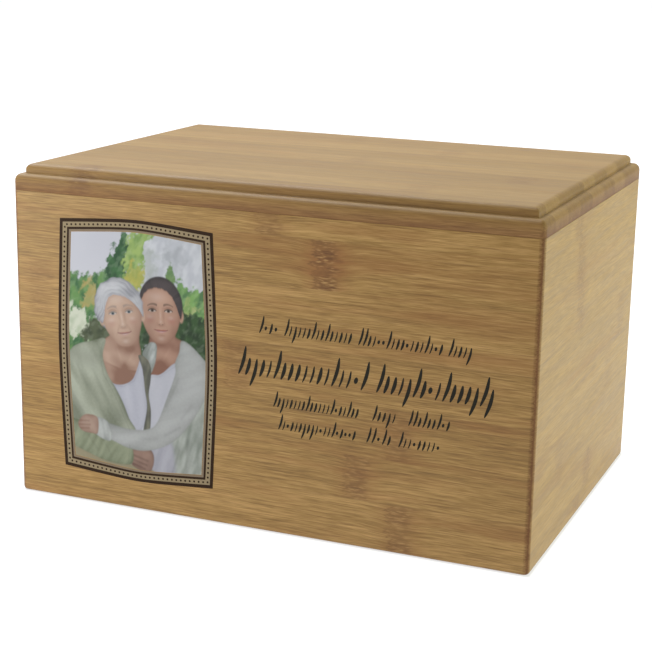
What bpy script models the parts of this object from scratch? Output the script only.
"""A bamboo memorial urn box: four mitred boards round a base board, under a lift-off lid with a routed edge.

The box stands on Z = 0 with its origin in the middle of its underside. X runs along the front,
+Y goes into the box from the front, and +Z is up. Lengths are in metres.
"""

import math

import bmesh
import bpy

# Outside of the box and its boards.
BOX_WIDTH = 0.240
BOX_DEPTH = 0.172
WALL_HEIGHT = 0.139
WALL_THICKNESS = 0.012
CORNER_RADIUS = 0.0026
FOOT_ROUNDING = 0.0016

# The base board, let into a rebate round the foot of the walls.
BASE_THICKNESS = 0.009
BASE_LET_IN = 0.005

# The lid's moulded edge, from the seam upwards.
LID_BAND_HEIGHT = 0.0037
LID_LOWER_RADIUS = 0.0032
LID_LEDGE = 0.0009
LID_RISER = 0.0015
LID_UPPER_RADIUS = 0.0026

# The raised panel under the lid, which drops into the mouth of the box.
TONGUE_DEPTH = 0.005
TONGUE_CLEARANCE = 0.001
TONGUE_CORNER_RADIUS = 0.003
TONGUE_ROUNDING = 0.0008

# What two pieces that touch keep between them, and the radius that a sawn or routed corner keeps.
JOINT_GAP = 0.0003
CRISP_CORNER_RADIUS = 0.0004

# How finely a quarter circle is divided.
CORNER_STEPS = 6
MOULDING_STEPS = 8
ROUNDING_STEPS = 4

QUARTER_TURN = math.pi / 2
MITRE_ANGLE = math.pi / 4

BAMBOO_FACE = (0.47, 0.31, 0.14, 1.0)
BAMBOO_LID = (0.44, 0.29, 0.14, 1.0)
BAMBOO_INSIDE = (0.52, 0.37, 0.19, 1.0)


def clear_scene():
    for thing in list(bpy.data.objects):
        bpy.data.objects.remove(thing)


def bamboo(name, colour, roughness):
    """A plain lacquered bamboo."""
    material = bpy.data.materials.new(name)
    material.use_nodes = True
    shader = material.node_tree.nodes["Principled BSDF"]
    shader.inputs["Base Color"].default_value = colour
    shader.inputs["Roughness"].default_value = roughness
    shader.inputs["Metallic"].default_value = 0.0
    return material


def quarter_steps(count):
    """Angles from 0 to a quarter turn, both ends included."""
    return [QUARTER_TURN * step / count for step in range(count + 1)]


def solid_from_rings(name, rings, material):
    """One closed solid through a stack of rings, each a loop of as many points, with both ends capped."""
    work = bmesh.new()
    loops = [[work.verts.new(point) for point in ring] for ring in rings]
    for lower, upper in zip(loops[:-1], loops[1:]):
        for here in range(len(lower)):
            after = (here + 1) % len(lower)
            work.faces.new((lower[here], lower[after], upper[after], upper[here]))
    work.faces.new(list(reversed(loops[0])))
    work.faces.new(loops[-1])
    bmesh.ops.recalc_face_normals(work, faces=work.faces)
    mesh = bpy.data.meshes.new(name)
    work.to_mesh(mesh)
    work.free()
    mesh.shade_smooth()
    mesh.set_sharp_from_angle(angle=math.radians(35))
    mesh.materials.append(material)
    solid = bpy.data.objects.new(name, mesh)
    bpy.context.scene.collection.objects.link(solid)
    return solid


def wall_outline(length, outer_inset, inner_depth, height):
    """A mitred board's plan at one height. The outer face lies along X at Y = outer_inset, and the
    inner face at Y = inner_depth. Each end is cut at 45 degrees, with the upright corner rounded."""
    radius = CORNER_RADIUS - outer_inset
    back_from_mitre = JOINT_GAP / 2 * math.sqrt(2)
    first_angle = MITRE_ANGLE + math.asin(JOINT_GAP / 2 / radius)
    half = length / 2
    inner_end = half - inner_depth - back_from_mitre
    right_end = []
    for step in range(CORNER_STEPS + 1):
        angle = first_angle + (QUARTER_TURN - first_angle) * step / CORNER_STEPS
        along = half - CORNER_RADIUS + radius * math.cos(angle)
        right_end.append((along, CORNER_RADIUS - radius * math.sin(angle), height))
    left_end = [(-along, depth, up) for along, depth, up in right_end]
    return [(-inner_end, inner_depth, height), *left_end, *reversed(right_end), (inner_end, inner_depth, height)]


def wall_board(name, length, middle, turn, material, parent):
    """One wall: its foot rounded outside, a rebate inside for the base, and plain above that."""
    foot_depth = WALL_THICKNESS - BASE_LET_IN
    rebate_top = BASE_THICKNESS + JOINT_GAP
    rings = []
    for angle in quarter_steps(ROUNDING_STEPS):
        inset = FOOT_ROUNDING * (1 - math.sin(angle))
        height = FOOT_ROUNDING * (1 - math.cos(angle))
        rings.append(wall_outline(length, inset, foot_depth, height))
    rings.append(wall_outline(length, 0, foot_depth, rebate_top))
    rings.append(wall_outline(length, 0, WALL_THICKNESS, rebate_top))
    rings.append(wall_outline(length, 0, WALL_THICKNESS, WALL_HEIGHT))
    board = solid_from_rings(name, rings, material)
    board.parent = parent
    board.location = middle
    board.rotation_euler = (0, 0, turn)
    return board


def make_walls(parent):
    material = bamboo("bamboo_walls", BAMBOO_FACE, 0.42)
    half_width, half_depth = BOX_WIDTH / 2, BOX_DEPTH / 2
    wall_board("front_board", BOX_WIDTH, (0, -half_depth, 0), 0, material, parent)
    wall_board("right_board", BOX_DEPTH, (half_width, 0, 0), QUARTER_TURN, material, parent)
    wall_board("back_board", BOX_WIDTH, (0, half_depth, 0), 2 * QUARTER_TURN, material, parent)
    wall_board("left_board", BOX_DEPTH, (-half_width, 0, 0), 3 * QUARTER_TURN, material, parent)


def rounded_rectangle(half_x, half_y, radius, height):
    """A rectangle about the Z axis with rounded corners, anticlockwise from above."""
    points = []
    for turn, (side_x, side_y) in enumerate(((1, 1), (-1, 1), (-1, -1), (1, -1))):
        centre_x = side_x * (half_x - radius)
        centre_y = side_y * (half_y - radius)
        for angle in quarter_steps(CORNER_STEPS):
            around = angle + turn * QUARTER_TURN
            points.append((centre_x + radius * math.cos(around), centre_y + radius * math.sin(around), height))
    return points


def make_base(parent):
    """The base board, in the rebate of the four walls and flush with their feet."""
    margin = WALL_THICKNESS - BASE_LET_IN + JOINT_GAP
    half_x, half_y = BOX_WIDTH / 2 - margin, BOX_DEPTH / 2 - margin
    rings = [
        rounded_rectangle(half_x, half_y, CRISP_CORNER_RADIUS, 0),
        rounded_rectangle(half_x, half_y, CRISP_CORNER_RADIUS, BASE_THICKNESS),
    ]
    base = solid_from_rings("base_board", rings, bamboo("bamboo_base", BAMBOO_INSIDE, 0.6))
    base.parent = parent


def lid_ring(inset, height):
    """The lid's outline drawn in by inset. Its corners tighten as a router leaves them."""
    radius = max(CORNER_RADIUS - inset, CRISP_CORNER_RADIUS)
    return rounded_rectangle(BOX_WIDTH / 2 - inset, BOX_DEPTH / 2 - inset, radius, height)


def moulding_profile():
    """(inset, height over the lid's seat) up the routed edge: a band, a large round, a ledge, a riser
    and a smaller round that runs out into the top."""
    ledge_height = LID_BAND_HEIGHT + LID_LOWER_RADIUS
    riser_inset = LID_LOWER_RADIUS + LID_LEDGE
    riser_top = ledge_height + LID_RISER
    profile = [(0.0, 0.0)]
    for angle in quarter_steps(MOULDING_STEPS):
        inset = LID_LOWER_RADIUS * (1 - math.cos(angle))
        profile.append((inset, LID_BAND_HEIGHT + LID_LOWER_RADIUS * math.sin(angle)))
    profile.append((riser_inset, ledge_height))
    for angle in quarter_steps(MOULDING_STEPS):
        inset = riser_inset + LID_UPPER_RADIUS * (1 - math.cos(angle))
        profile.append((inset, riser_top + LID_UPPER_RADIUS * math.sin(angle)))
    return profile


def tongue_rings(seat):
    """The raised panel under the lid, from its rounded lower edge up to the lid's seat."""
    margin = WALL_THICKNESS + TONGUE_CLEARANCE
    half_x, half_y = BOX_WIDTH / 2 - margin, BOX_DEPTH / 2 - margin
    bottom = seat - TONGUE_DEPTH
    rings = []
    for angle in quarter_steps(ROUNDING_STEPS):
        inset = TONGUE_ROUNDING * (1 - math.sin(angle))
        height = bottom + TONGUE_ROUNDING * (1 - math.cos(angle))
        radius = TONGUE_CORNER_RADIUS - inset
        rings.append(rounded_rectangle(half_x - inset, half_y - inset, radius, height))
    rings.append(rounded_rectangle(half_x, half_y, TONGUE_CORNER_RADIUS, seat))
    return rings


def make_lid(parent):
    """The lid, one board with its edge moulded outside and rebated below."""
    seat = WALL_HEIGHT + JOINT_GAP
    rings = tongue_rings(seat)
    rings += [lid_ring(inset, seat + height) for inset, height in moulding_profile()]
    lid = solid_from_rings("lid", rings, bamboo("bamboo_lid", BAMBOO_LID, 0.4))
    lid.parent = parent


def main():
    clear_scene()
    urn_box = bpy.data.objects.new("urn_box", None)
    bpy.context.scene.collection.objects.link(urn_box)
    make_walls(urn_box)
    make_base(urn_box)
    make_lid(urn_box)


main()
